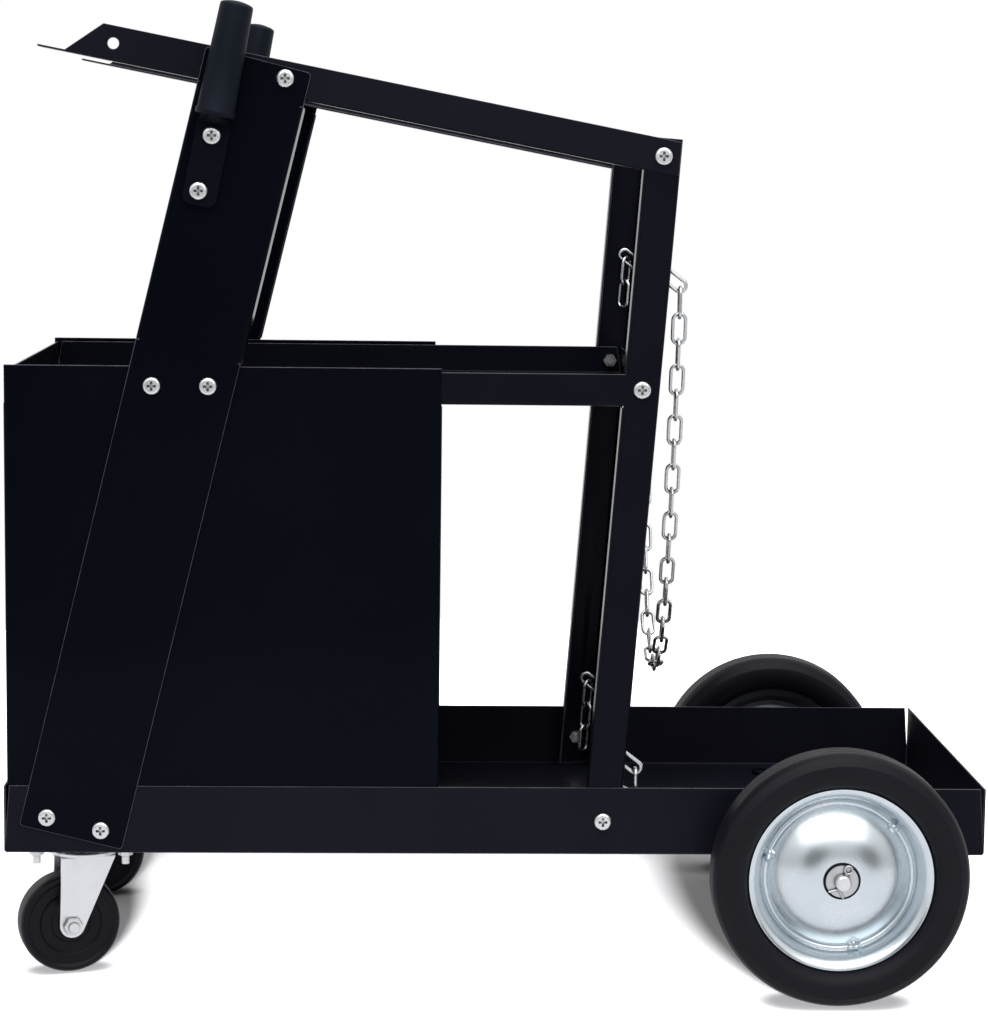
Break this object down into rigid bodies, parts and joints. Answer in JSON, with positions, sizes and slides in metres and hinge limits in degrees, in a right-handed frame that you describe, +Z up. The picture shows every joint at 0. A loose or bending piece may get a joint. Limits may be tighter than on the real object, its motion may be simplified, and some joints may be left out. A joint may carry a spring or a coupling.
{
  "type": "welding trolley",
  "caption": "Black sheet-metal welding trolley with sloping machine rails, a shelf, a bottle tray, holding chains, large rear wheels and swivel casters.",
  "frame": {"origin": "on the ground, under the middle of the base tray", "axes": "+X towards the bottle end with the large wheels, +Y to the operator's left, +Z up"},
  "size_m": [0.772, 0.458, 0.7649],
  "materials": {
    "black_powder": "semi-gloss black powder coat",
    "zinc": "bright zinc plating",
    "chain_zinc": "bright zinc plated wire",
    "tyre_rubber": "solid black rubber",
    "caster_rubber": "black rubber",
    "caster_plastic": "black moulded plastic",
    "grip_rubber": "soft black vinyl",
    "bush_plastic": "black bearing plastic"
  },
  "bodies": {
    "frame": {"base_tray": "black_powder", "shelf_tray": "black_powder", "frame_screws": "zinc", "frame_nuts": "zinc", "spacer_washers": "zinc", "rear_axle": "zinc", "axle_split_pins": "zinc", "axle_washers": "zinc", "axle_collars": "zinc", "axle_bracket_screws": "black_powder", "axle_bracket_nuts": "zinc", "caster_plate_bolts": "zinc", "caster_plate_nuts": "zinc", "chain_hooks": "chain_zinc", "upper_chain_end_links": "chain_zinc", "lower_chain": "chain_zinc", "right_side_panel": "black_powder", "left_side_panel": "black_powder", "right_front_upright": "black_powder", "left_front_upright": "black_powder", "right_rear_post": "black_powder", "left_rear_post": "black_powder", "right_top_rail": "black_powder", "left_top_rail": "black_powder", "right_handle_bar": "black_powder", "left_handle_bar": "black_powder", "right_handle_grip": "grip_rubber", "left_handle_grip": "grip_rubber", "right_axle_bracket": "black_powder", "left_axle_bracket": "black_powder", "right_caster_plate": "zinc", "left_caster_plate": "zinc", "right_caster_balls": "zinc", "left_caster_balls": "zinc", "right_caster_kingpin": "zinc", "left_caster_kingpin": "zinc"},
    "right_wheel": {"right_wheel_outer_rim": "zinc", "right_wheel_inner_rim": "zinc", "right_wheel_tyre": "tyre_rubber", "right_wheel_bush": "bush_plastic"},
    "right_caster": {"right_caster_fork": "zinc", "right_caster_bush": "bush_plastic", "right_caster_axle_bolt": "zinc", "right_caster_axle_nut": "zinc"},
    "right_caster_roller": {"right_caster_wheel": "caster_plastic", "right_caster_tread": "caster_rubber"},
    "left_wheel": {"left_wheel_outer_rim": "zinc", "left_wheel_inner_rim": "zinc", "left_wheel_tyre": "tyre_rubber", "left_wheel_bush": "bush_plastic"},
    "left_caster": {"left_caster_fork": "zinc", "left_caster_bush": "bush_plastic", "left_caster_axle_bolt": "zinc", "left_caster_axle_nut": "zinc"},
    "left_caster_roller": {"left_caster_wheel": "caster_plastic", "left_caster_tread": "caster_rubber"},
    "hanging_chain": {"upper_chain": "chain_zinc"}
  },
  "joints": [
    {"name": "right_wheel_spin", "type": "hinge", "parent": "frame", "child": "right_wheel", "pos_m": [0.2643, -0.205, 0.1], "axis": [0, 1, 0], "continuous": true},
    {"name": "right_caster_swivel", "type": "hinge", "parent": "frame", "child": "right_caster", "pos_m": [-0.329, -0.115, 0.08], "axis": [0, 0, 1], "continuous": true},
    {"name": "right_caster_spin", "type": "hinge", "parent": "right_caster", "child": "right_caster_roller", "pos_m": [-0.34147, -0.11869, 0.04], "axis": [-0.284, 0.9588, 0], "continuous": true},
    {"name": "left_wheel_spin", "type": "hinge", "parent": "frame", "child": "left_wheel", "pos_m": [0.2643, 0.205, 0.1], "axis": [0, 1, 0], "continuous": true},
    {"name": "left_caster_swivel", "type": "hinge", "parent": "frame", "child": "left_caster", "pos_m": [-0.329, 0.115, 0.08], "axis": [0, 0, 1], "continuous": true},
    {"name": "left_caster_spin", "type": "hinge", "parent": "left_caster", "child": "left_caster_roller", "pos_m": [-0.34197, 0.11409, 0.04], "axis": [-0.0698, 0.9976, 0], "continuous": true},
    {"name": "upper_chain_swing", "type": "hinge", "parent": "frame", "child": "hanging_chain", "pos_m": [0.13606, 0, 0.5295], "axis": [0, -1, 0], "range_deg": [-5, 75]}
  ]
}
